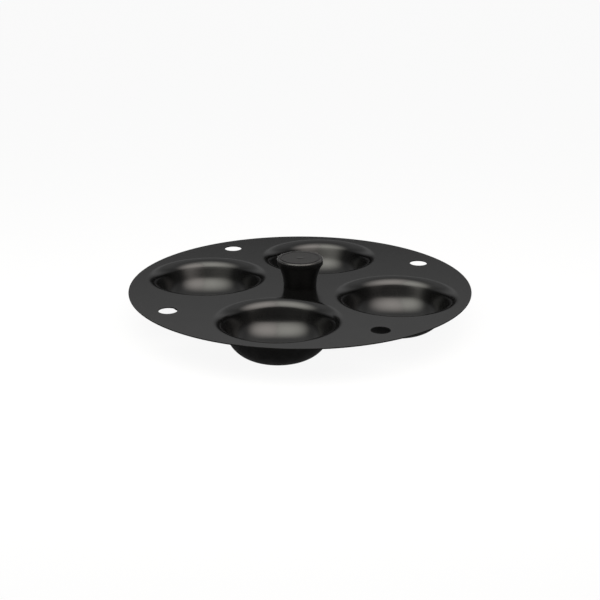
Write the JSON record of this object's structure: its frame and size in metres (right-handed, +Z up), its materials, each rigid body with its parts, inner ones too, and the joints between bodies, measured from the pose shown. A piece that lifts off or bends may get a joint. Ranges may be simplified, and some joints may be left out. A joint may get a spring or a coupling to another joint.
{
  "type": "egg poaching tray",
  "caption": "Round non-stick steel egg poaching tray with drawn cups, steam holes near the rim and a flared black knob in the middle; it rests on the rim of a pan.",
  "frame": {"origin": "middle of the tray, on the surface that its cups stand on", "axes": "+Z up through the knob, +X and +Y each through a steam hole; the first cup lies between them"},
  "size_m": [0.24, 0.24, 0.0455],
  "materials": {
    "non_stick_steel": "dark grey satin non-stick coating on sheet steel",
    "phenolic": "black moulded phenolic, low sheen",
    "brass": "turned brass",
    "zinc_plated_steel": "bright zinc plating"
  },
  "bodies": {
    "root": {"poaching_tray": "non_stick_steel", "knob": "phenolic", "knob_insert": "brass", "plain_washer": "zinc_plated_steel", "spring_washer": "zinc_plated_steel", "fixing_screw": "zinc_plated_steel"}
  },
  "joints": []
}
